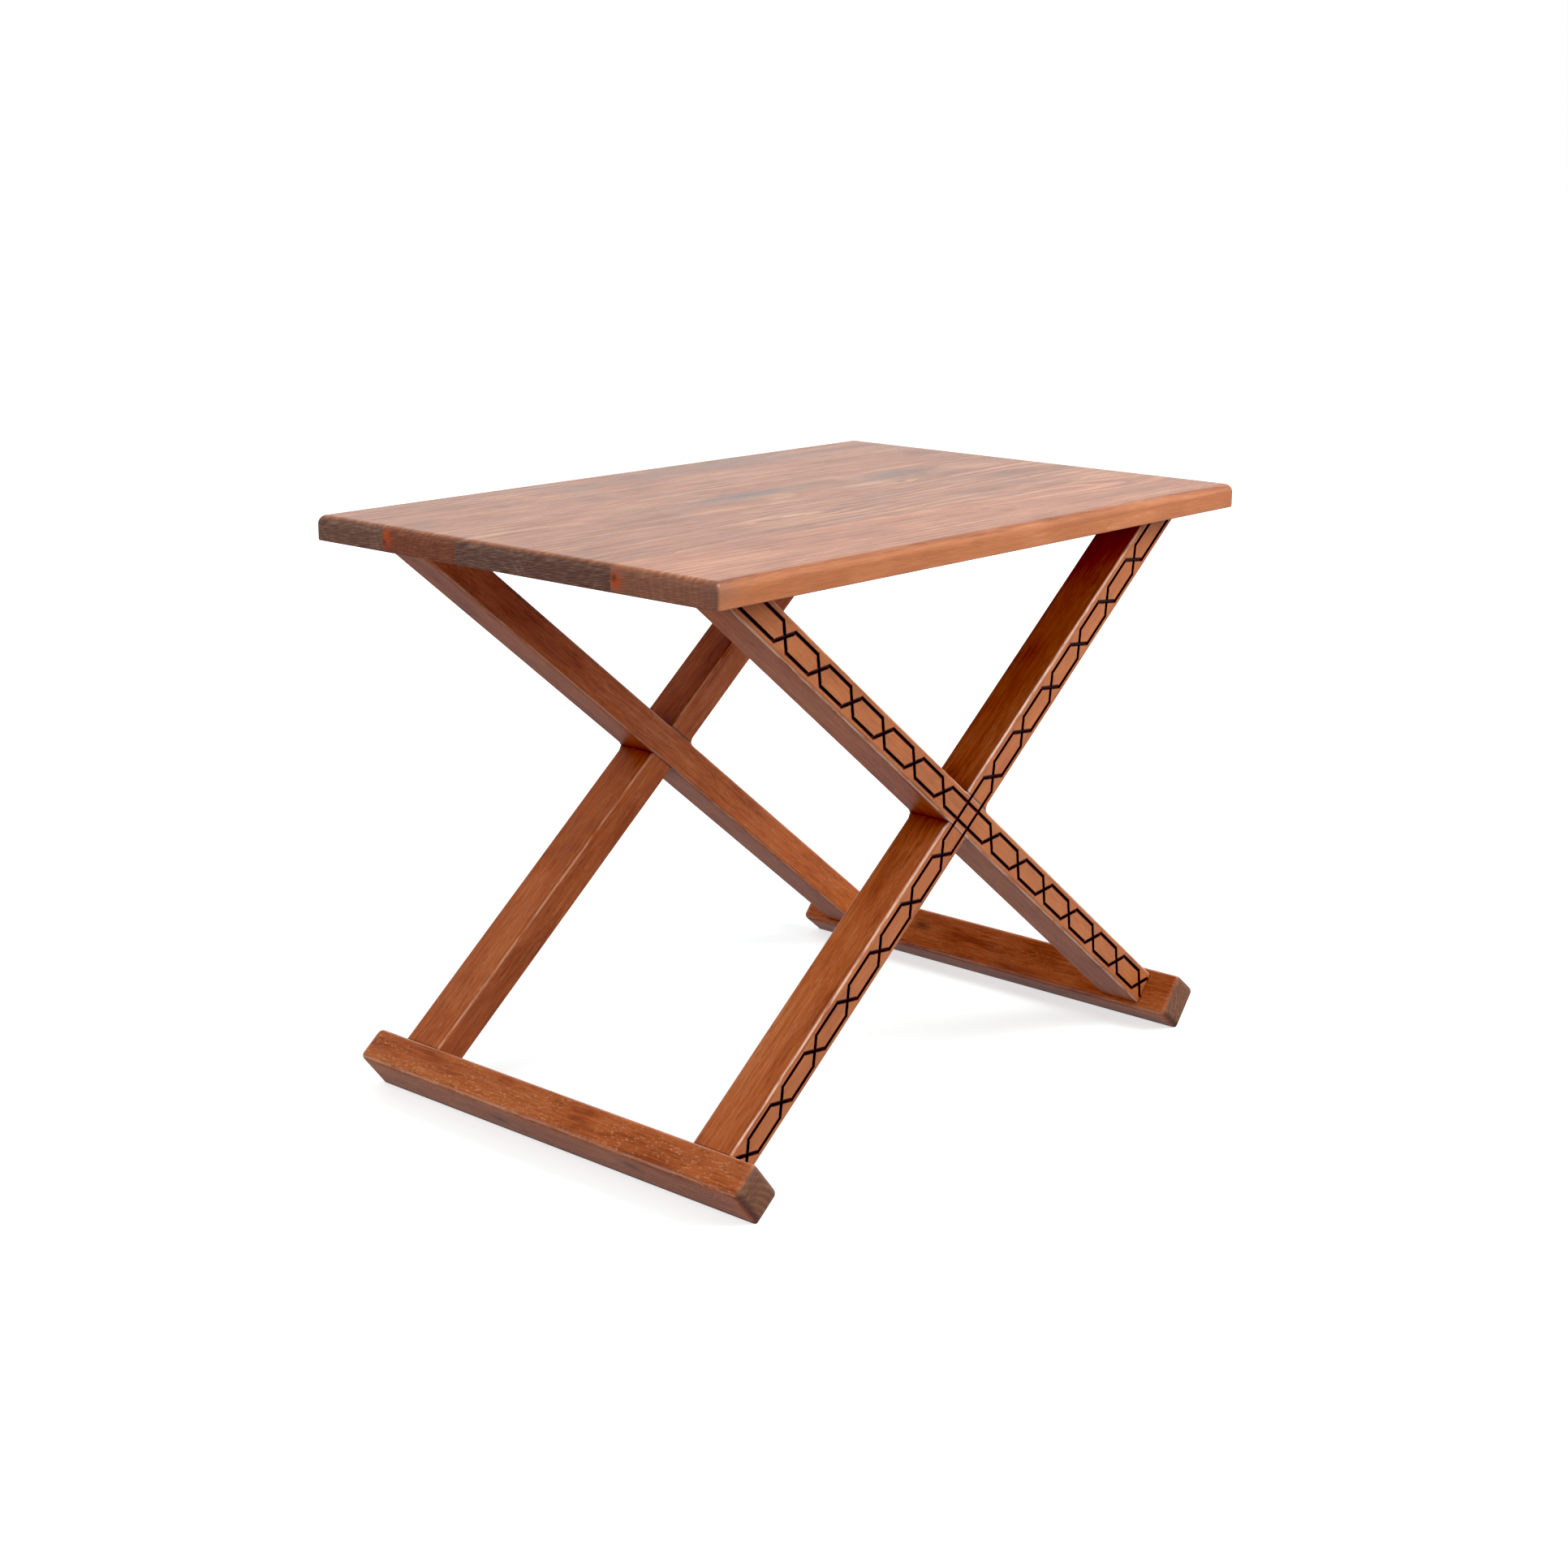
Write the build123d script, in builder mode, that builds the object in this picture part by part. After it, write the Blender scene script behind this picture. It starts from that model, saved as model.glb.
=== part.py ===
from build123d import *
import os
from math import cos, radians, sin, tan

os.makedirs("parts", exist_ok=True)

# Quran stand: an edge-glued top on two cross-lapped X frames that stand on two foot rails.
# +X runs along the top's grain, +Y is its width, +Z is up, and the origin is on the floor
# under the middle of the top.  The frames lie in XZ planes, one at each side of the top.

# Driving dimensions (mm)
overall_height = 445.0
top_length = 600.0
top_thickness = 18.5
top_roundover = 6.0
top_corner_radius = 3.0
top_lower_radius = 1.2
stave_widths = [73.5, 74.5, 71.0, 79.0, 94.0]  # from the rear edge to the front edge

leg_width = 27.5  # across the leg, in the plane of its frame
leg_depth = 36.5  # along Y
leg_tilt = radians(38.7)  # from the floor
frame_outer_y = 168.0  # from the centre plane to the decorated faces
crossing_height = 229.0
leg_edge_radius = 3.0
cutter_pilot_radius = 4.5  # the rounding cutter's guide, which stops it short of the crossing

rail_thickness = 27.5  # along the leg's axis
rail_width = 36.5  # across the leg's axis
rail_length = 392.0
rail_edge_radius = 4.0
rail_end_radius = 6.0
rail_trim = 1.0  # taken off the lowest edge, as the flat that stands on the floor

groove_width = 2.2
groove_depth = 1.6
cell_half_width = 7.8  # from the leg's centre line to the long sides of a cell
cell_arm = 8.0  # length along the leg of a cell's slanted sides
cell_pitch = 44.8
first_node = 38.0  # from the crossing to the first place where the two lines cross
nodes_above = 6
nodes_below = 7

dowel_radius = 4.0
dowel_offset = 9.0  # either side of the leg's middle, along Y
foot_dowel_length = 32.0
top_dowel_length = 22.0
top_dowel_in_top = 10.0
dowel_chamfer = 1.0
dowel_end_gap = 1.0

top_width = sum(stave_widths)
underside = overall_height - top_thickness
half_leg = leg_width / 2
lap_depth = leg_depth / 2
foot_distance = (
    (crossing_height + rail_trim - cos(leg_tilt) * rail_width / 2) / sin(leg_tilt)
    - rail_thickness
)

legs = {"a": -1, "b": 1}  # the X side of each leg's top end
frames = {"front": -1, "rear": 1}  # the Y side of each frame


def leg_axis(leg):
    """Direction up the leg."""
    return Vector(legs[leg] * cos(leg_tilt), 0, sin(leg_tilt))


def leg_across(leg):
    """Direction across the leg, in its frame's plane, towards its upper side."""
    return Vector(-legs[leg] * sin(leg_tilt), 0, cos(leg_tilt))


def on_leg(leg, along, across):
    """X and Z of a point, along the leg's axis from the crossing and across it."""
    point = leg_axis(leg) * along + leg_across(leg) * across
    return (point.X, crossing_height + point.Z)


def top_distance(across):
    """Distance along the leg from the crossing to the underside of the top."""
    rise = underside - crossing_height - cos(leg_tilt) * across
    return rise / sin(leg_tilt)


def frame_middle(frame):
    """Y of the frame's middle plane."""
    return frames[frame] * (frame_outer_y - leg_depth / 2)


def foot_dowels(leg, frame):
    """Centre and direction of the two dowels between a leg and its foot rail."""
    x, z = on_leg(leg, -foot_distance, 0)
    middle = frame_middle(frame)
    return [
        Plane(origin=(x, middle + offset, z), x_dir=(0, 1, 0), z_dir=leg_axis(leg))
        for offset in (-dowel_offset, dowel_offset)
    ]


def top_dowels(leg, frame):
    """Centre and direction of the two dowels between a leg and the top."""
    x, _ = on_leg(leg, top_distance(0), 0)
    middle = frame_middle(frame)
    height = underside + top_dowel_in_top - top_dowel_length / 2
    return [
        Plane(origin=(x, middle + offset, height))
        for offset in (-dowel_offset, dowel_offset)
    ]


def bore(places, length):
    """Blind dowel holes, a little longer than the dowels."""
    with Locations(*places):
        Cylinder(dowel_radius, length + 2 * dowel_end_gap, mode=Mode.SUBTRACT)


def long_bar(leg):
    """Sketch of the leg's outline, far past both ends."""
    Polygon(
        on_leg(leg, -top_length, -half_leg),
        on_leg(leg, top_length, -half_leg),
        on_leg(leg, top_length, half_leg),
        on_leg(leg, -top_length, half_leg),
        align=None,
    )


def round_long_edges(leg, y_outer, normal):
    """Round the leg's two long edges on one face, as far as the cutter reaches."""
    reach = half_leg + cutter_pilot_radius
    for side in (1, -1):
        outward = leg_across(leg) * side
        for way in (1, -1):
            if side == way:
                start = reach * tan(leg_tilt)
            else:
                start = reach / tan(leg_tilt)
            x, z = on_leg(leg, way * start, side * half_leg)
            profile = Plane(
                origin=(x, y_outer, z), x_dir=outward, z_dir=outward.cross(normal)
            )
            run = profile.z_dir.dot(leg_axis(leg)) * way
            with BuildSketch(profile) as waste:
                with Locations((-leg_edge_radius / 2 + 0.5, -leg_edge_radius / 2 + 0.5)):
                    Rectangle(leg_edge_radius + 1, leg_edge_radius + 1)
                with Locations((-leg_edge_radius, -leg_edge_radius)):
                    Circle(leg_edge_radius, mode=Mode.SUBTRACT)
            extrude(waste.sketch, amount=run * top_length, mode=Mode.SUBTRACT)


def round_crossing_corners(y_outer, normal):
    """Swing the rounding cutter in the four corners between the legs."""
    reach = half_leg + cutter_pilot_radius
    centres = [
        (reach / sin(leg_tilt), 0),
        (-reach / sin(leg_tilt), 0),
        (0, reach / cos(leg_tilt)),
        (0, -reach / cos(leg_tilt)),
    ]
    outer = cutter_pilot_radius + leg_edge_radius
    for x, z in centres:
        centre = (x, y_outer, crossing_height + z)
        with BuildSketch(Plane(origin=centre, x_dir=(1, 0, 0), z_dir=(0, 0, 1))) as swing:
            inward = -normal.Y
            with BuildLine():
                Polyline(
                    (cutter_pilot_radius, inward * leg_edge_radius),
                    (0, inward * leg_edge_radius),
                    (0, -inward),
                    (outer, -inward),
                    (outer, 0),
                )
                RadiusArc(
                    (outer, 0),
                    (cutter_pilot_radius, inward * leg_edge_radius),
                    inward * leg_edge_radius,
                )
            make_face()
        revolve(swing.sketch, axis=Axis(centre, (0, 1, 0)), mode=Mode.SUBTRACT)


def cell_line(leg, side):
    """One of the two crossing zig-zag lines that make the row of long cells."""
    nodes = [-first_node - cell_pitch * n for n in range(nodes_below)][::-1]
    nodes += [first_node + cell_pitch * n for n in range(nodes_above)]
    points = [on_leg(leg, nodes[0] - cell_arm, -side * cell_half_width)]
    for node, following in zip(nodes, nodes[1:]):
        points.append(on_leg(leg, node + cell_arm, side * cell_half_width))
        points.append(on_leg(leg, following - cell_arm, side * cell_half_width))
        side = -side
    points.append(on_leg(leg, nodes[-1] + cell_arm, side * cell_half_width))
    points.append(on_leg(leg, top_distance(-half_leg), side * cell_half_width))
    return points


# The whole top, before it is divided into its glued staves
with BuildPart() as panel:
    with Locations((0, 0, underside)):
        Box(
            top_length,
            top_width,
            top_thickness,
            align=(Align.CENTER, Align.CENTER, Align.MIN),
        )
    fillet(panel.edges().filter_by(Axis.Z), top_corner_radius)
    fillet(panel.faces().sort_by(Axis.Z)[-1].edges(), top_roundover)
    fillet(panel.faces().sort_by(Axis.Z)[0].edges(), top_lower_radius)
    for leg in legs:
        for frame in frames:
            bore(top_dowels(leg, frame), top_dowel_length)

rear_edge = top_width / 2
for number, width in enumerate(stave_widths, start=1):
    with BuildPart() as stave:
        add(panel.part)
        with Locations((0, rear_edge - width / 2, overall_height / 2)):
            Box(2 * top_length, width, 2 * overall_height, mode=Mode.INTERSECT)
    stave.part.label = f"top_stave_{number}"
    export_step(stave.part, f"parts/top_stave_{number}.step")
    rear_edge -= width

for frame, y_side in frames.items():
    near_face = Plane.XZ.offset(-frame_middle(frame) + leg_depth / 2)
    for leg, other in (("a", "b"), ("b", "a")):
        with BuildPart() as bar:
            with BuildSketch(near_face):
                Polygon(
                    on_leg(leg, -foot_distance, -half_leg),
                    on_leg(leg, top_distance(-half_leg), -half_leg),
                    on_leg(leg, top_distance(half_leg), half_leg),
                    on_leg(leg, -foot_distance, half_leg),
                    align=None,
                )
            extrude(amount=-leg_depth)
            # Half-depth lap: leg a keeps the -Y half, leg b the +Y half
            lap_plane = near_face.offset(-lap_depth) if leg == "a" else near_face
            with BuildSketch(lap_plane):
                long_bar(other)
            extrude(amount=-lap_depth, mode=Mode.SUBTRACT)
            for face_side in (-1, 1):
                face_y = frame_middle(frame) + face_side * leg_depth / 2
                round_long_edges(leg, face_y, Vector(0, face_side, 0))
                round_crossing_corners(face_y, Vector(0, face_side, 0))
            # Engraved cells of both legs, which cross over each other at the lap
            with BuildSketch(Plane.XZ.offset(-y_side * frame_outer_y)):
                for traced in legs:
                    for side in (1, -1):
                        with BuildLine():
                            Polyline(*cell_line(traced, side))
                        trace(line_width=groove_width)
            extrude(amount=y_side * groove_depth, mode=Mode.SUBTRACT)
            bore(foot_dowels(leg, frame), foot_dowel_length)
            bore(top_dowels(leg, frame), top_dowel_length)
        bar.part.label = f"{frame}_leg_{leg}"
        export_step(bar.part, f"parts/{frame}_leg_{leg}.step")

for leg, place in (("a", "right"), ("b", "left")):
    with BuildPart() as rail:
        with BuildSketch(Plane.XZ.offset(rail_length / 2)) as section:
            Polygon(
                on_leg(leg, -foot_distance, -rail_width / 2),
                on_leg(leg, -foot_distance, rail_width / 2),
                on_leg(leg, -foot_distance - rail_thickness, rail_width / 2),
                on_leg(leg, -foot_distance - rail_thickness, -rail_width / 2),
                align=None,
            )
            fillet(section.vertices().sort_by(Axis.Y)[1:], rail_edge_radius)
        extrude(amount=-rail_length)
        fillet(rail.faces().filter_by(Axis.Y).edges(), rail_end_radius)
        split(bisect_by=Plane.XY, keep=Keep.TOP)
        for frame in frames:
            bore(foot_dowels(leg, frame), foot_dowel_length)
    rail.part.label = f"foot_rail_{place}"
    export_step(rail.part, f"parts/foot_rail_{place}.step")

for frame in frames:
    for leg in legs:
        joints = {
            "foot": (foot_dowels(leg, frame), foot_dowel_length),
            "top": (top_dowels(leg, frame), top_dowel_length),
        }
        for joint, (places, length) in joints.items():
            for number, place in enumerate(places, start=1):
                with BuildPart(place) as dowel:
                    Cylinder(dowel_radius, length)
                    chamfer(dowel.edges().filter_by(GeomType.CIRCLE), dowel_chamfer)
                dowel.part.label = f"dowel_{joint}_{frame}_{leg}_{number}"
                export_step(dowel.part, f"parts/{dowel.part.label}.step")
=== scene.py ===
"""Quran stand: stained wood, pale studio floor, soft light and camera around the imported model."""
import math

import bmesh
import bpy
from mathutils import Matrix, Vector

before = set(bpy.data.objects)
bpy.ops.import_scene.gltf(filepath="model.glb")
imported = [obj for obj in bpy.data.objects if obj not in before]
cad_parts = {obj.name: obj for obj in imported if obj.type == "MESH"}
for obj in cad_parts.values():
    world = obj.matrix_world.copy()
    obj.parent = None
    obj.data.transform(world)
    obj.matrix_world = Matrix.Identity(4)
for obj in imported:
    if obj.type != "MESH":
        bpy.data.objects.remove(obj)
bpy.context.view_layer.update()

MM = 0.001
LEG_TILT = math.radians(38.7)  # of every leg, from the floor
CROSSING = 0.229  # height of the point where two legs cross

# Lengths on the legs, in mm
FOOT = 317.6  # along a leg, from the crossing down to its foot rail
HALF_LEG = 13.75  # from a leg's centre line to its long sides
UNDER_TOP = 426.0  # height where the dirt under the top is thickest
GROOVE_SEARCH = 2.2  # depth that holds all the engraving
GROOVED_HALF = 10.4  # all engraving lies this near a leg's centre line
CROSSED_REACH = 20.0  # along a leg, past the last of the other leg's lines

# Engraved cells, in mm from the crossing along each leg
FIRST_NODE = 38.0  # where the two lines first cross
LAST_NODE = 262.0  # where they cross last, under the top
CELL_PITCH = 44.8
CELL_HALF = 7.8  # from the leg's centre line to the cell's long sides
CELL_ARM = 8.0  # length along the leg of the cell's slanted sides
LINE_HALF = 1.15  # a little over half the width of a line
RIM_HALF = 1.75  # half the width of a line with its scorched rims

SEED_STEP = (531.0, 217.0, 389.0)  # mm between the wood of one piece and the next

WARM_WOOD = (0.450, 0.124, 0.035)
DARK_WOOD = (0.235, 0.054, 0.015)
LIGHT_WOOD = (0.610, 0.222, 0.082)
PALE_FLECK = (0.740, 0.370, 0.180)
# Pale edge colour: partly real wear, partly a painted highlight on the rounded edges
WORN_AND_SHEEN_WOOD = (0.800, 0.540, 0.400)
GREY_WOOD = (0.215, 0.135, 0.105)
# Real dirt in pores and joints, and also the painted contact shade along the floor
DIRT_AND_SHADE = (0.045, 0.016, 0.008)
SCUFF = (0.130, 0.085, 0.062)
CHAR = (0.010, 0.003, 0.002)
BROWN_CHAR = (0.040, 0.010, 0.004)
# Painted shade for the corners where the legs cross
CROSSING_SHADE = (0.100, 0.022, 0.008)
KNOT = (0.060, 0.022, 0.012)
EMBER_KNOT = (0.480, 0.085, 0.014)


class Graph:
    """A node material, with short calls for the nodes it is made from."""

    def __init__(self, name):
        self.material = bpy.data.materials.new(name)
        self.material.use_nodes = True
        self.tree = self.material.node_tree
        self.tree.nodes.clear()

    def node(self, kind, inputs, **settings):
        made = self.tree.nodes.new(kind)
        for key, value in settings.items():
            setattr(made, key, value)
        for key, value in inputs.items():
            if isinstance(value, bpy.types.NodeSocket):
                self.tree.links.new(value, made.inputs[key])
            else:
                made.inputs[key].default_value = value
        return made

    def maths(self, operation, *values):
        made = self.node("ShaderNodeMath", dict(enumerate(values)), operation=operation)
        return made.outputs[0]

    def product(self, *values):
        result = values[0]
        for value in values[1:]:
            result = self.maths("MULTIPLY", result, value)
        return result

    def add_scaled(self, base, value, scale):
        """base + value * scale"""
        return self.maths("MULTIPLY_ADD", value, scale, base)

    def vector(self, operation, *values):
        made = self.node("ShaderNodeVectorMath", dict(enumerate(values)), operation=operation)
        return made.outputs["Value" if operation in ("DOT_PRODUCT", "LENGTH") else "Vector"]

    def noise(self, place, cells, detail=2.0, roughness=0.5, distortion=0.0):
        """Noise from 0 to 1, with this many cells in a millimetre along each axis."""
        inputs = {
            "Vector": self.vector("MULTIPLY", place, cells),
            "Scale": 1.0,
            "Detail": detail,
            "Roughness": roughness,
            "Distortion": distortion,
        }
        return self.node("ShaderNodeTexNoise", inputs).outputs["Fac"]

    def step(self, value, low, high):
        """0 up to low, 1 from high, smooth between them."""
        inputs = {"Value": value, "From Min": low, "From Max": high}
        made = self.node("ShaderNodeMapRange", inputs, interpolation_type="SMOOTHSTEP")
        return made.outputs["Result"]

    def invert(self, value):
        return self.maths("SUBTRACT", 1.0, value)

    def mix(self, factor, first, second):
        inputs = {"Factor": factor, 6: opaque(first), 7: opaque(second)}
        return self.node("ShaderNodeMix", inputs, data_type="RGBA").outputs[2]

    def bell(self, offsets):
        """1 where every (offset, reach) pair has offset 0, fading out past reach."""
        total = 0.0
        for offset, reach in offsets:
            scaled = self.maths("MULTIPLY", offset, 1 / reach)
            total = self.maths("MULTIPLY_ADD", scaled, scaled, total)
        return self.maths("EXPONENT", self.maths("MULTIPLY", total, -1.0))


def opaque(colour):
    return (*colour, 1.0) if isinstance(colour, tuple) and len(colour) == 3 else colour


class Piece:
    """A wooden piece and its own axes: along the grain, across it and through the piece."""

    def __init__(self, node, grain, across, origin=None):
        self.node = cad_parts[node]
        self.axes = [Vector(grain).normalized(), Vector(across).normalized()]
        self.axes.append(self.axes[0].cross(self.axes[1]))
        self.origin = Vector((0, 0, 0))
        self.half = []
        for axis in self.axes:
            along = [axis.dot(corner.co) for corner in self.node.data.vertices]
            self.origin += axis * (min(along) + max(along)) / 2
            self.half.append((max(along) - min(along)) / 2 / MM)
        if origin:
            self.origin = Vector(origin)


class Wood(Graph):
    """The stained wood of one piece; look holds what differs between kinds of piece."""

    def __init__(self, name, piece, seed, look):
        super().__init__(name)
        self.piece = piece
        self.look = look
        where = self.node("ShaderNodeTexCoord", {}).outputs["Object"]
        up = self.node("ShaderNodeSeparateXYZ", {0: where}).outputs[2]
        self.height = self.maths("MULTIPLY", up, 1 / MM)
        self.facing = self.node("ShaderNodeNewGeometry", {}).outputs["Normal"]

        # Place in mm along the grain, across it and through the piece
        self.offset = self.vector("SUBTRACT", where, piece.origin[:])
        self.u, self.v, self.w = [self.along(axis[:]) for axis in piece.axes]
        place = self.node("ShaderNodeCombineXYZ", {0: self.u, 1: self.v, 2: self.w}).outputs[0]
        self.seeded = self.vector("ADD", place, tuple(seed * step for step in SEED_STEP))

        # Where the piece ends: 1 on its end grain, and 1 along its long edges
        cut = self.vector("DOT_PRODUCT", self.facing, piece.axes[0][:])
        self.end = self.step(self.maths("ABSOLUTE", cut), 0.35, 0.9)
        in_v = self.maths("SUBTRACT", piece.half[1], self.maths("ABSOLUTE", self.v))
        in_w = self.maths("SUBTRACT", piece.half[2], self.maths("ABSOLUTE", self.w))
        self.from_edge = self.maths("MAXIMUM", in_v, in_w)
        self.brink = self.step(self.from_edge, look["brink"], look["brink"] * 1.7)
        self.brink = self.invert(self.brink)

        # Streaks, fibres, blotches and pores, all drawn out along the grain
        self.streak = self.grain((0.005, 0.19, 0.19), 5.0, 0.62, 0.3)
        self.fibre = self.grain((0.05, 1.1, 1.1), 3.0, 0.65)
        self.blotch = self.grain((0.011, 0.030, 0.030), 4.0, 0.6, 0.6)
        self.pore = self.step(self.grain((0.08, 1.4, 1.4)), 0.58, 0.70)

        late, knots = self.growth()
        colour = self.stain(late)
        colour = self.end_grain(colour, late)
        for strength, tint in knots:
            colour = self.mix(strength, colour, tint)
        colour = self.wear_sheen_and_shade(colour)
        if look["leg"]:
            # How far a point is from the other leg's centre line
            beyond = self.maths("ABSOLUTE", self.along(look["other_across"]))
            colour = self.stained_joints_and_shade(colour, beyond)
            burnt = self.step(self.maths("ABSOLUTE", self.v), 5.5, 7.2)
            burnt = self.mix(burnt, CHAR, BROWN_CHAR)
            line = self.engraving(beyond)
            colour = self.mix(self.maths("MULTIPLY", line, 0.98), colour, burnt)
        self.coat(colour, late)

    def along(self, axis):
        """Place along an axis, in mm from the piece's origin."""
        return self.maths("MULTIPLY", self.vector("DOT_PRODUCT", self.offset, axis), 1 / MM)

    def grain(self, cells, *settings):
        """Noise in the piece's own axes, different for every piece."""
        return self.noise(self.seeded, cells, *settings)

    def growth(self):
        """Late wood of the growth rings, and the strength and tint of every knot."""
        look = self.look
        bent_v = self.add_scaled(self.v, self.u, look["slope"])
        knots = []
        for ku, kv, kw, reach_u, reach_v, tint, strength, pull in look["knots"]:
            du = self.maths("SUBTRACT", self.u, ku)
            dv = self.maths("SUBTRACT", self.v, kv)
            dw = self.maths("SUBTRACT", self.w, kw)
            shape = self.bell([(du, reach_u), (dv, reach_v), (dw, reach_v)])
            knots.append((self.maths("MULTIPLY", shape, strength), tint))
            if pull:
                wide = self.bell([(du, reach_u * 3.0), (dv, reach_v * 2.6)])
                bent_v = self.add_scaled(bent_v, self.product(dv, wide), -pull)

        # Rings about a pith beside the board, bent by slow noise and round the knots
        from_v = self.maths("SUBTRACT", bent_v, look["pith_v"])
        from_w = self.maths("SUBTRACT", self.w, look["pith_w"])
        squares = self.maths("MULTIPLY_ADD", from_v, from_v, self.product(from_w, from_w))
        rings = self.maths("SQRT", squares)
        rings = self.add_scaled(rings, self.grain((0.0042, 0.017, 0.017)), look["bend"])
        rings = self.add_scaled(rings, self.grain((0.012, 0.05, 0.05)), look["bend"] * 0.22)
        phase = self.maths("FRACT", self.maths("MULTIPLY", rings, 1 / look["ring"]))
        late = self.product(self.step(phase, 0.35, 0.90), self.invert(self.step(phase, 0.93, 1.0)))
        soften = self.grain((0.006, 0.03, 0.03))
        return self.product(late, self.step(soften, 0.25, 0.75)), knots

    def stain(self, late):
        """Colour of the long sides."""
        look = self.look
        tone = self.add_scaled(0.5, self.maths("SUBTRACT", self.streak, 0.5), look["streak"])
        tone = self.add_scaled(tone, self.maths("SUBTRACT", self.fibre, 0.5), look["fibre"])
        tone = self.add_scaled(tone, self.maths("SUBTRACT", self.blotch, 0.5), look["blotch"])
        tone = self.add_scaled(tone, self.maths("SUBTRACT", late, 0.25), look["late"])
        colour = self.mix(self.step(tone, 0.0, 0.55), look["dark"], look["warm"])
        colour = self.mix(self.step(tone, 0.45, 1.1), colour, look["light"])

        fleck = self.step(self.grain(look["fleck_cells"], 3.0, 0.6), 0.53, 0.70)
        crowd = self.step(self.grain((0.016, 0.06, 0.06)), *look["crowd"])
        colour = self.mix(self.product(fleck, crowd, look["fleck"]), colour, PALE_FLECK)
        colour = self.mix(self.maths("MULTIPLY", self.pore, look["pore"]), colour, DIRT_AND_SHADE)

        # Grey where the stain took unevenly
        patch = self.step(self.grain((0.006, 0.020, 0.020), 3.0, 0.6, 0.8), 0.50, 0.74)
        colour = self.mix(self.maths("MULTIPLY", patch, look["grey"]), colour, GREY_WOOD)
        if look["face"]:
            # Lighter on one side: on a leg the decorated side took less stain; on the top's front
            # board the lighter front side is painted light
            side = self.vector("DOT_PRODUCT", self.facing, (0.0, look["face"], 0.0))
            less = self.maths("MULTIPLY", self.step(side, 0.6, 1.0), 0.38)
            colour = self.mix(less, colour, look["face_tint"])
        return colour

    def end_grain(self, colour, late):
        """The colour with saw-marked end grain, which drinks more stain."""
        look = self.look
        tilted = self.maths("MULTIPLY", self.add_scaled(self.w, self.v, 0.12), 1.3)
        saw = self.node("ShaderNodeCombineXYZ", {0: tilted, 1: self.v}).outputs[0]
        speckle = self.noise(saw, (1.0, 0.09, 1.0), 3.0, 0.6)
        tone = self.add_scaled(self.maths("MULTIPLY", late, look["end_rings"]), speckle, 0.95)
        tint = self.mix(self.step(tone, 0.34, 0.74), look["end"], look["end_light"])
        return self.mix(self.maths("MULTIPLY", self.end, 0.93), colour, tint)

    def wear_sheen_and_shade(self, colour):
        """The colour with pale edges that are partly wear and partly a painted highlight, smudges
        beside them, scuffed ends and painted contact shade along the floor.
        """
        look = self.look
        rub = self.grain((0.04, 0.45, 0.45), 4.0, 0.7)
        # Pale edges: partly real wear, partly a painted highlight along the rounded edges
        worn = self.product(self.brink, self.step(rub, 0.34, 0.56), look["worn"])
        colour = self.mix(self.product(worn, self.invert(self.end)), colour, WORN_AND_SHEEN_WOOD)

        smudge = self.step(self.grain((0.02, 0.12, 0.12), 3.0, 0.6), 0.48, 0.68)
        beside = self.invert(self.step(self.from_edge, 2.0, 4.5))
        smudge = self.product(beside, smudge, self.invert(self.brink), look["worn"], 0.7)
        colour = self.mix(smudge, colour, look["dark"])
        if look["end_worn"]:
            # Ends scuffed where they meet the long sides
            in_u = self.maths("SUBTRACT", self.piece.half[0], self.maths("ABSOLUTE", self.u))
            scuff = self.maths("ABSOLUTE", self.maths("SUBTRACT", in_u, 1.4))
            scuff = self.invert(self.step(scuff, 0.5, 2.6))
            scuff = self.product(scuff, self.step(rub, 0.30, 0.60), look["end_worn"])
            colour = self.mix(scuff, colour, SCUFF)

        # Painted contact shade: darker within the last few mm above the floor
        low = self.invert(self.step(self.height, 0.3, 3.5))
        return self.mix(self.maths("MULTIPLY", low, 0.75), colour, DIRT_AND_SHADE)

    def stained_joints_and_shade(self, colour, beyond):
        """A leg's colour with dirt at the foot, under the top and beside the lap, and painted shade
        in the corners of the crossing.
        """
        joint = self.invert(self.step(self.maths("ADD", self.u, FOOT), 0.5, 2.0))
        under_top = self.step(self.height, UNDER_TOP - 2.0, UNDER_TOP)
        joint = self.maths("MAXIMUM", joint, under_top)
        past = self.maths("SUBTRACT", beyond, HALF_LEG)
        beside = self.invert(self.step(past, 0.25, 1.1))
        depth = self.maths("MULTIPLY", self.w, self.look["lap_side"])
        beside = self.product(beside, self.maths("LESS_THAN", depth, 0.5))
        joint = self.maths("MAXIMUM", joint, beside)
        colour = self.mix(self.maths("MULTIPLY", joint, 0.72), colour, DIRT_AND_SHADE)

        # Painted shade in the corners of the crossing, fading away from the other leg
        past = self.maths("MAXIMUM", past, 0.0)
        corner_shade = self.maths("EXPONENT", self.maths("MULTIPLY", past, -0.11))
        corner_shade = self.product(corner_shade, self.step(self.maths("ABSOLUTE", self.v), 11.5, 13.5))
        corner_shade = self.product(corner_shade, self.step(self.blotch, 0.2, 0.6), 0.8)
        return self.mix(corner_shade, colour, CROSSING_SHADE)

    def engraving(self, beyond):
        """1 in a leg's engraved grooves, a little less on the scorched rims beside them."""
        from_middle = self.maths("ABSOLUTE", self.v)

        # The grooves are all that lies just under the decorated face
        outward = self.maths("MULTIPLY", self.w, self.look["outer"])
        depth = self.maths("SUBTRACT", self.piece.half[2], outward)
        under = self.maths("LESS_THAN", depth, GROOVE_SEARCH)
        under = self.product(self.step(depth, 0.02, 0.2), under)
        inside = self.maths("LESS_THAN", from_middle, GROOVED_HALF)
        crossed = self.maths("LESS_THAN", self.maths("ABSOLUTE", self.u), CROSSED_REACH)
        crossed = self.product(self.maths("LESS_THAN", beyond, GROOVED_HALF), crossed)
        line = self.product(under, self.maths("MAXIMUM", inside, crossed))

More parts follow.
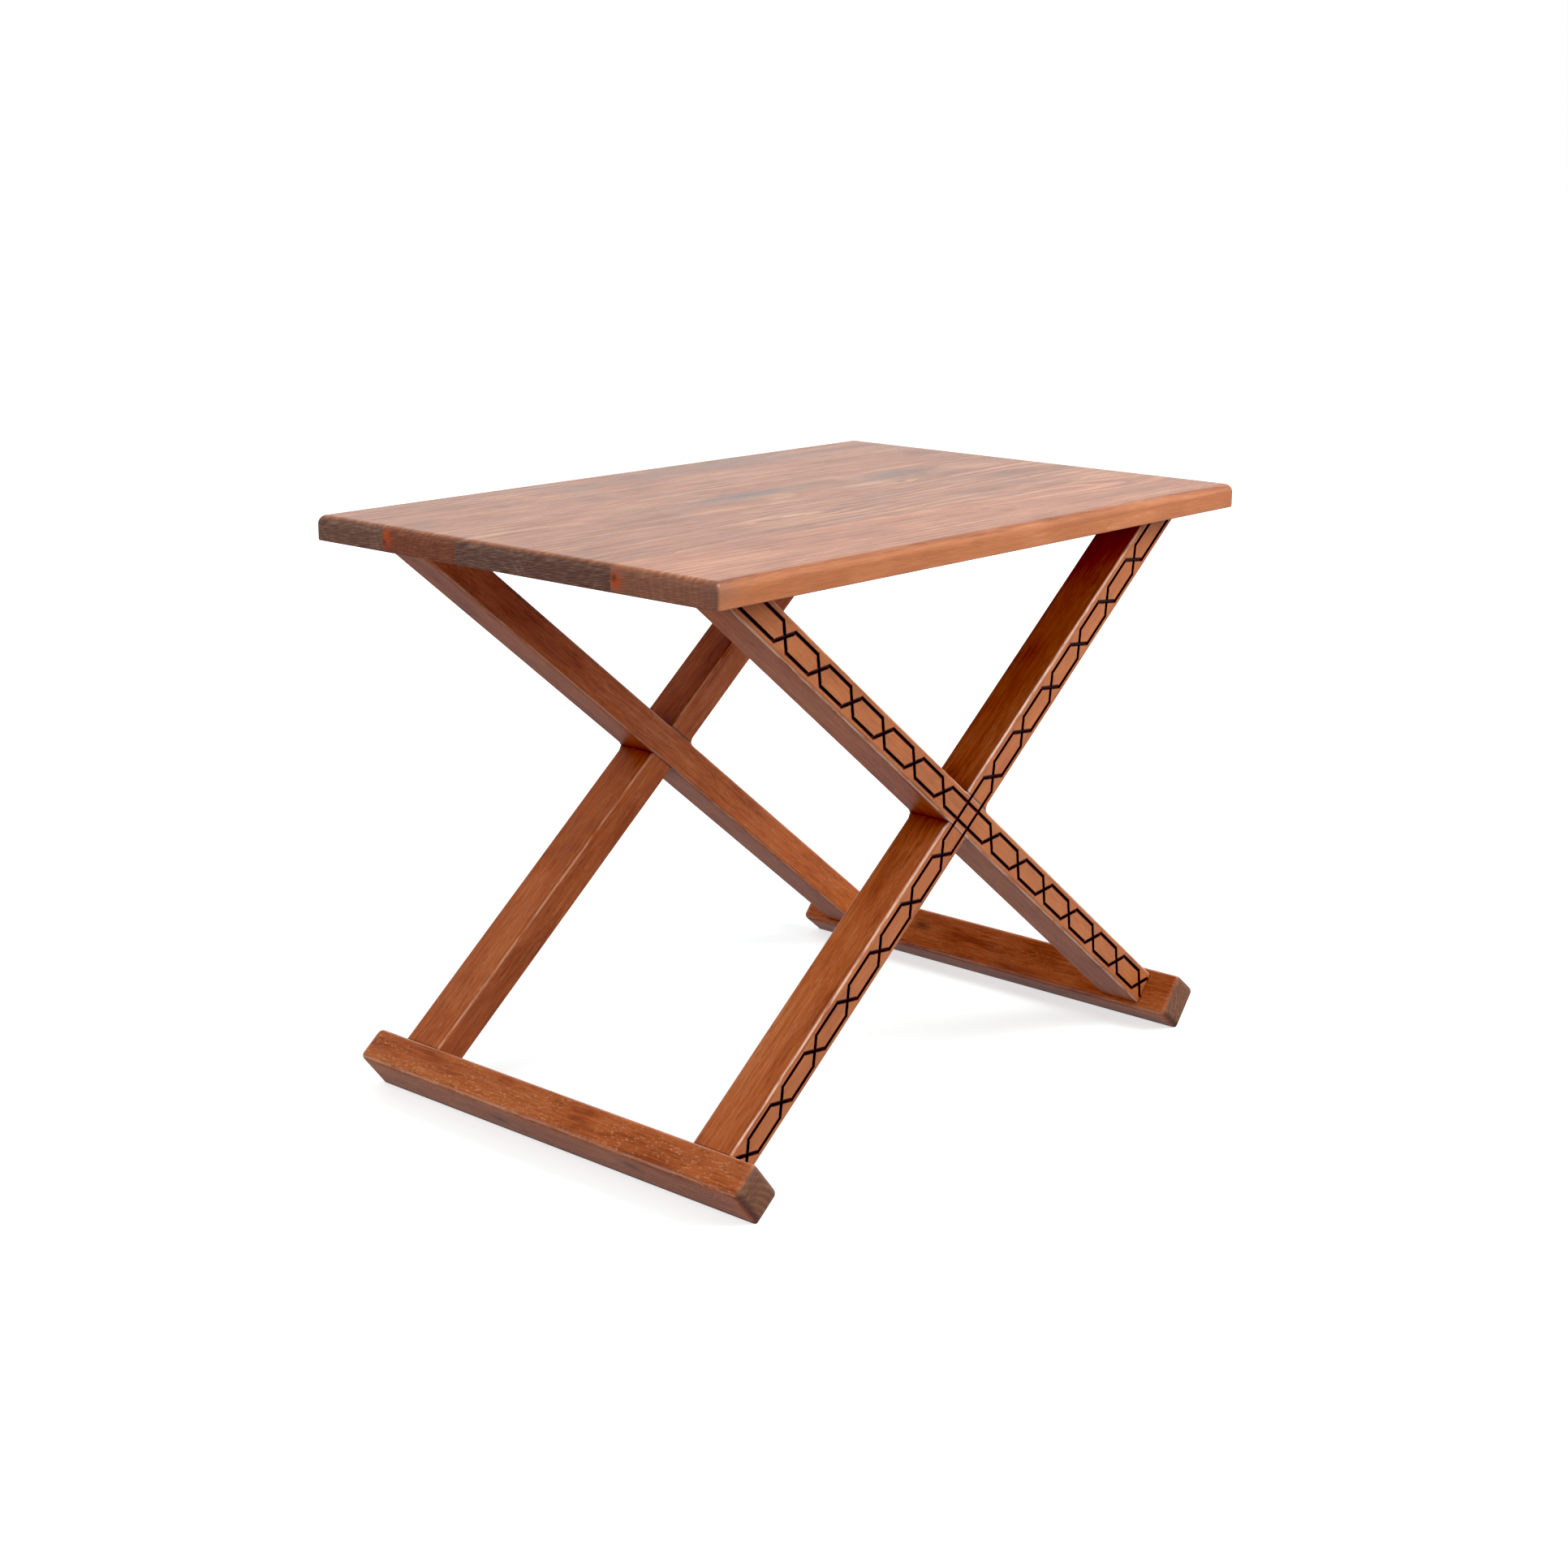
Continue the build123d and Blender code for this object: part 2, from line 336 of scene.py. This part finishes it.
        # Distance along the leg from the nearest place where the two lines cross
        first = self.maths("SUBTRACT", self.maths("ABSOLUTE", self.u), FIRST_NODE)
        cell = self.maths("ADD", self.maths("MULTIPLY", first, 1 / CELL_PITCH), 0.5)
        cell = self.maths("MULTIPLY_ADD", self.maths("FRACT", cell), CELL_PITCH, -CELL_PITCH / 2)
        away = self.maths("MULTIPLY", first, -1.0)
        away = self.maths("MAXIMUM", self.maths("ABSOLUTE", cell), away)
        away = self.maths("MAXIMUM", away, self.maths("SUBTRACT", self.u, LAST_NODE))

        # Distance from the nearest line of either leg; rims are wider on slanted lines
        sideways = self.maths("MULTIPLY", away, CELL_HALF / CELL_ARM)
        sideways = self.maths("MINIMUM", sideways, CELL_HALF)
        apart = self.maths("ABSOLUTE", self.maths("SUBTRACT", from_middle, sideways))
        slanted = self.maths("LESS_THAN", away, CELL_ARM)
        apart = self.product(apart, self.add_scaled(1.0, slanted, -0.38))
        from_other = self.maths("ABSOLUTE", self.maths("SUBTRACT", beyond, CELL_HALF))
        apart = self.maths("MINIMUM", apart, from_other)
        rim = self.invert(self.step(apart, LINE_HALF, RIM_HALF))
        rim = self.product(rim, self.maths("LESS_THAN", depth, 0.1), 0.92)
        return self.maths("MAXIMUM", line, rim)

    def coat(self, colour, late):
        """Satin coat over the colour, duller on end grain and polished on the worn edges."""
        look = self.look
        rough = self.grain((0.02, 0.2, 0.2), 3.0)
        rough = self.add_scaled(look["rough"] - 0.06, rough, 0.12)
        rough = self.add_scaled(rough, self.end, 0.2)
        rough = self.add_scaled(rough, self.maths("MULTIPLY", self.brink, look["worn"]), -0.24)
        relief = self.add_scaled(self.maths("MULTIPLY", self.fibre, 0.7), self.streak, 0.5)
        relief = self.add_scaled(relief, late, 0.2)
        relief = self.add_scaled(relief, self.pore, -0.5)
        bump = {"Strength": 0.4, "Distance": 0.0003, "Height": relief}
        inputs = {
            "Base Color": colour,
            "Roughness": rough,
            "IOR": 1.5,
            "Specular IOR Level": look["gloss"],
            "Normal": self.node("ShaderNodeBump", bump).outputs[0],
        }
        shader = self.node("ShaderNodeBsdfPrincipled", inputs)
        self.node("ShaderNodeOutputMaterial", {"Surface": shader.outputs[0]})


def dress(piece, name, seed, look):
    mesh = piece.node.data
    mesh.materials.clear()
    mesh.materials.append(Wood(name, piece, seed, look).material)


def look(**changes):
    settings = {
        "slope": 0.0,
        "pith_v": 0.0,
        "pith_w": -80.0,
        "bend": 24.0,
        "ring": 4.5,
        "knots": [],
        "streak": 0.55,
        "fibre": 1.25,
        "blotch": 1.0,
        "late": 0.16,
        "fleck": 0.28,
        "fleck_cells": (0.16, 0.95, 0.95),
        "crowd": (0.38, 0.66),
        "pore": 0.45,
        "grey": 0.12,
        "worn": 0.75,
        "end_worn": 0.0,
        "brink": 1.15,
        "leg": False,
        "face": 0,
        "face_tint": (0.48, 0.200, 0.085),
        "dark": DARK_WOOD,
        "warm": WARM_WOOD,
        "light": LIGHT_WOOD,
        "end": (0.085, 0.040, 0.024),
        "end_light": (0.22, 0.110, 0.062),
        "end_rings": 0.40,
        "rough": 0.42,
        "gloss": 0.42,
    }
    settings.update(changes)
    return settings


# Each knot or stain is its place along, across and through the piece in mm, its reach along
# the grain and across it, its tint, the strength of the tint and how far the grain bends round it

# Top: five boards of differing colour, grain along X
top_look = {
    "streak": 1.3,
    "blotch": 1.3,
    "late": 0.7,
    "fibre": 1.3,
    "fleck": 0.12,
    "pore": 0.25,
    "worn": 0.0,
    "gloss": 0.5,
    "rough": 0.38,
    "dark": (0.225, 0.085, 0.042),
    "warm": (0.385, 0.152, 0.072),
    "light": (0.560, 0.270, 0.145),
    "end_rings": 0.05,
}
SOOT = (0.150, 0.105, 0.090)
STRAW = (0.560, 0.330, 0.200)
RUST = (0.200, 0.075, 0.038)
boards = {
    1: {
        "grey": 0.55,
        "pith_v": 60.0,
        "pith_w": -30.0,
        "ring": 6.0,
        "end": (0.080, 0.040, 0.025),
        "end_light": (0.300, 0.170, 0.115),
        "knots": [
            (-67.0, 2.7, 9.0, 7.0, 3.0, KNOT, 0.55, 1.0),
            (-182.0, -32.0, 9.0, 7.0, 3.0, KNOT, 0.5, 1.0),
            (100.0, 6.0, 9.0, 110.0, 24.0, SOOT, 0.45, 0.0),
        ],
    },
    2: {
        "grey": 0.25,
        "pith_v": -55.0,
        "pith_w": -18.0,
        "ring": 5.0,
        "end": (0.120, 0.034, 0.014),
        "end_light": (0.290, 0.105, 0.050),
        "knots": [
            (-300.0, 34.5, 1.0, 14.0, 5.5, EMBER_KNOT, 0.9, 0.6),
            (-300.0, 36.0, -2.0, 3.0, 2.2, KNOT, 0.8, 0.0),
            (-20.0, -45.0, 9.0, 75.0, 10.0, SOOT, 0.40, 0.0),
        ],
    },
    3: {
        "grey": 0.30,
        "pith_v": 10.0,
        "pith_w": -75.0,
        "ring": 5.5,
        "slope": 0.03,
        "end": (0.055, 0.028, 0.018),
        "end_light": (0.250, 0.150, 0.105),
        "knots": [
            (-20.0, 22.0, 9.0, 55.0, 10.0, SOOT, 0.75, 0.0),
            (150.0, 18.0, 9.0, 46.0, 15.0, SOOT, 0.75, 0.0),
            (95.0, -2.0, 9.0, 26.0, 4.5, STRAW, 0.7, 0.6),
            (125.0, -12.0, 9.0, 6.0, 3.0, KNOT, 0.7, 0.6),
        ],
    },
    4: {
        "grey": 0.12,
        "pith_v": -70.0,
        "pith_w": -60.0,
        "ring": 6.5,
        "slope": -0.045,
        "end": (0.058, 0.026, 0.016),
        "end_light": (0.235, 0.135, 0.092),
        "knots": [
            (-67.0, 10.5, 9.0, 19.0, 4.4, STRAW, 1.0, 1.6),
            (-80.0, 11.0, 9.0, 5.0, 2.0, RUST, 0.6, 0.0),
            (220.0, 33.0, 9.0, 38.0, 11.0, RUST, 0.75, 0.0),
        ],
    },
    5: {
        "grey": 0.10,
        "pith_v": 34.0,
        "pith_w": -8.0,
        "ring": 6.0,
        "slope": 0.035,
        "dark": (0.290, 0.100, 0.045),
        "warm": (0.440, 0.165, 0.073),
        "light": (0.600, 0.280, 0.145),
        # Its front side is painted lighter, standing in for the light of the key lamp
        "face": -1,
        "face_tint": (0.62, 0.210, 0.064),
        "end": (0.165, 0.070, 0.040),
        "end_light": (0.330, 0.150, 0.088),
        "knots": [
            (65.0, 0.0, 9.0, 8.0, 3.0, KNOT, 0.5, 1.2),
            (57.0, 15.0, 9.0, 5.0, 2.4, KNOT, 0.5, 1.0),
            (-300.0, 42.5, -1.0, 14.0, 5.5, EMBER_KNOT, 0.9, 0.0),
            (-301.0, 43.5, 1.0, 3.0, 2.4, KNOT, 0.9, 0.0),
            (-296.0, -47.0, 2.0, 16.0, 9.0, SOOT, 0.35, 0.0),
        ],
    },
}
for number, board in boards.items():
    stave = Piece(f"top_stave_{number}", (1, 0, 0), (0, 1, 0))
    dress(stave, f"top_wood_{number}", number, look(**(top_look | board)))

# Legs: grain along each leg, engraved on the outer face of its frame
seed = 20
cos_tilt, sin_tilt = math.cos(LEG_TILT), math.sin(LEG_TILT)
for side, outward, worn in (("front", -1, 0.95), ("rear", 1, 0.5)):
    for leg, top_side in (("a", -1), ("b", 1)):
        seed += 1
        along = (top_side * cos_tilt, 0, sin_tilt)
        across = (-top_side * sin_tilt, 0, cos_tilt)
        bar = Piece(f"{side}_leg_{leg}", along, across)
        bar.origin = Vector((0, bar.origin.y, CROSSING))
        through = bar.axes[2].y
        settings = look(
            leg=True,
            outer=outward * through,
            face=outward,
            other_across=(top_side * sin_tilt, 0, cos_tilt),
            lap_side=top_side * through,
            pith_v=40.0,
            pith_w=-60.0,
            blotch=1.3,
            worn=worn,
        )
        dress(bar, f"leg_wood_{side}_{leg}", seed, settings)

# Foot rails: grain along Y, mottled, scuffed at the ends
for side, top_side, fleck, knots in (
    (
        "left",
        1,
        0.62,
        [
            (51.0, -13.75, 3.0, 9.0, 4.0, KNOT, 0.8, 0.8),
            (-87.0, -13.75, -4.0, 9.0, 4.0, KNOT, 0.75, 0.8),
        ],
    ),
    ("right", -1, 0.22, [(67.0, 13.75, 3.0, 9.0, 4.5, KNOT, 0.75, 0.8)]),
):
    seed += 1
    upward = (top_side * cos_tilt, 0, sin_tilt)
    rail = Piece(f"foot_rail_{side}", (0, 1, 0), upward)
    settings = look(
        fleck=fleck,
        fleck_cells=(0.30, 0.55, 0.55),
        crowd=(0.28, 0.56),
        blotch=1.7,
        streak=0.7,
        worn=0.35,
        end_worn=0.8,
        brink=1.4,
        grey=0.1,
        pith_v=-50.0,
        pith_w=30.0,
        end=(0.125, 0.050, 0.024),
        end_light=(0.300, 0.135, 0.070),
        end_rings=0.25,
        knots=knots,
    )
    dress(rail, f"rail_wood_{side}", seed, settings)

# Dowels: bare beech
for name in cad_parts:
    if name.startswith("dowel"):
        axis = (0, 0, 1)
        if "foot" in name:
            axis = ((-1 if "_a_" in name else 1) * cos_tilt, 0, sin_tilt)
        seed += 1
        pin = Piece(name, axis, (0, 1, 0))
        settings = look(
            dark=(0.45, 0.29, 0.16),
            warm=(0.60, 0.42, 0.25),
            light=(0.72, 0.54, 0.36),
            end=(0.38, 0.25, 0.14),
            end_light=(0.52, 0.36, 0.22),
            worn=0.0,
            grey=0.0,
        )
        dress(pin, f"wood_{name}", seed, settings)


# Studio
FLOOR_WHITE = (0.57, 0.615, 0.62)
FLOOR_GLOW = 0.64
FLOOR_HALF = 20.0  # m
ROOM_RADIUS = 18.0  # m
SKY_SEEN = 1.0  # strength of the white behind the stand
SKY_GLOW = 0.12  # strength of the light it gives
LAMP_AIM = Vector((0.0, 0.0, 0.25))


def sheet(name, half, height, material):
    mesh = bpy.data.meshes.new(name)
    corners = [(-half, -half), (half, -half), (half, half), (-half, half)]
    mesh.from_pydata([(x, y, height) for x, y in corners], [], [(0, 1, 2, 3)])
    return backdrop(name, mesh, material)


def dome(name, radius, material):
    shape = bmesh.new()
    bmesh.ops.create_uvsphere(shape, u_segments=48, v_segments=24, radius=radius)
    mesh = bpy.data.meshes.new(name)
    shape.to_mesh(mesh)
    shape.free()
    return backdrop(name, mesh, material)


def backdrop(name, mesh, material):
    mesh.materials.append(material)
    made = bpy.data.objects.new(name, mesh)
    bpy.context.scene.collection.objects.link(made)
    made.visible_shadow = False
    return made


def paint(name, colour, glow):
    """Matt paint that also glows; glow takes the material's graph and gives the strength."""
    g = Graph(name)
    matt = g.node("ShaderNodeBsdfDiffuse", {"Color": opaque(colour)})
    lit = g.node("ShaderNodeEmission", {"Color": opaque((1.0, 1.0, 1.0)), "Strength": glow(g)})
    both = g.node("ShaderNodeAddShader", {0: matt.outputs[0], 1: lit.outputs[0]})
    g.node("ShaderNodeOutputMaterial", {"Surface": both.outputs[0]})
    g.material.cycles.emission_sampling = "NONE"
    return g.material


def floor_glow(g):
    """A little under the stand, more further out."""
    away = g.vector("LENGTH", g.node("ShaderNodeTexCoord", {}).outputs["Object"])
    return g.add_scaled(FLOOR_GLOW, g.step(away, 0.35, 1.4), 0.40)


def wall_glow(g):
    """Dim below the floor line, bright just above it, dark overhead."""
    direction = g.vector("NORMALIZE", g.node("ShaderNodeTexCoord", {}).outputs["Object"])
    rise = g.node("ShaderNodeSeparateXYZ", {0: direction}).outputs[2]
    strength = g.add_scaled(0.50, g.step(rise, -0.05, 0.12), 0.95)
    return g.add_scaled(strength, g.step(rise, 0.20, 0.75), -1.30)


# The floor glows a little, so only the shade right under the stand shows, and fades to white
floor_paint = paint("floor_white", FLOOR_WHITE, floor_glow)
floor = sheet("floor", FLOOR_HALF, -0.2 * MM, floor_paint)
floor.visible_diffuse = False
floor.visible_glossy = False

# A dimmer floor, unseen, throws light back up under the stand
bounce_paint = paint("floor_bounce", (0.40, 0.40, 0.40), lambda g: 0.0)
bounce = sheet("floor_bounce", FLOOR_HALF, -1.2 * MM, bounce_paint)
bounce.visible_camera = False
bounce.visible_glossy = False

# White walls that only show in the sheen of the wood, darker overhead
room = dome("room", ROOM_RADIUS, paint("room_white", (0.0, 0.0, 0.0), wall_glow))
room.visible_camera = False
room.visible_diffuse = False

# White behind everything, and a dim sky that lights the wood
world = bpy.data.worlds.new("studio")
bpy.context.scene.world = world
world.use_nodes = True
sky = world.node_tree
sky.nodes.clear()
seen = sky.nodes.new("ShaderNodeBackground")
glow = sky.nodes.new("ShaderNodeBackground")
which = sky.nodes.new("ShaderNodeLightPath")
blend = sky.nodes.new("ShaderNodeMixShader")
sky_out = sky.nodes.new("ShaderNodeOutputWorld")
for node, strength in ((seen, SKY_SEEN), (glow, SKY_GLOW)):
    node.inputs["Color"].default_value = (1.0, 1.0, 1.0, 1.0)
    node.inputs["Strength"].default_value = strength
sky.links.new(which.outputs["Is Camera Ray"], blend.inputs[0])
sky.links.new(glow.outputs[0], blend.inputs[1])
sky.links.new(seen.outputs[0], blend.inputs[2])
sky.links.new(blend.outputs[0], sky_out.inputs[0])


def softbox(name, place, size, power, sheen=False):
    """A square lamp aimed at the stand; a sheen lamp only shows as a shine on the edges."""
    data = bpy.data.lights.new(name, "AREA")
    data.size = size
    data.energy = power
    lamp = bpy.data.objects.new(name, data)
    lamp.location = place
    lamp.rotation_mode = "QUATERNION"
    lamp.rotation_quaternion = (LAMP_AIM - Vector(place)).to_track_quat("-Z", "Y")
    lamp.visible_glossy = sheen
    lamp.visible_diffuse = not sheen
    bpy.context.scene.collection.objects.link(lamp)


softbox("key", (1.35, -2.25, 1.75), 1.8, 91.0)
softbox("left", (-2.3, 0.0, 1.9), 2.2, 42.0)
softbox("overhead", (0.0, 0.0, 2.8), 2.5, 21.0)
softbox("rear_fill", (0.9, 2.4, 1.2), 2.2, 26.0)
softbox("edge_shine", (0.07, -0.97, 2.34), 0.8, 34.0, sheen=True)

# Camera at the photographer's place
CAMERA_PLACE = (-1.43544, -1.24775, 0.72888)
camera_data = bpy.data.cameras.new("camera")
camera_data.sensor_width = 36.0
camera_data.lens = 58.28
camera_data.clip_end = 200.0
camera = bpy.data.objects.new("camera", camera_data)
heading, tilt, roll = math.radians(41.252), math.radians(-14.914), math.radians(0.444)
camera.matrix_world = (
    Matrix.Translation(CAMERA_PLACE)
    @ Matrix.Rotation(heading - math.pi / 2, 4, "Z")
    @ Matrix.Rotation(math.pi / 2 + tilt, 4, "X")
    @ Matrix.Rotation(roll, 4, "Z")
)
bpy.context.scene.collection.objects.link(camera)
bpy.context.scene.camera = camera

# Deep shades go to black a little early
view = bpy.context.scene.view_settings
view.view_transform = "Standard"
view.use_curve_mapping = True
view.curve_mapping.black_level = (0.020, 0.021, 0.015)
view.curve_mapping.update()
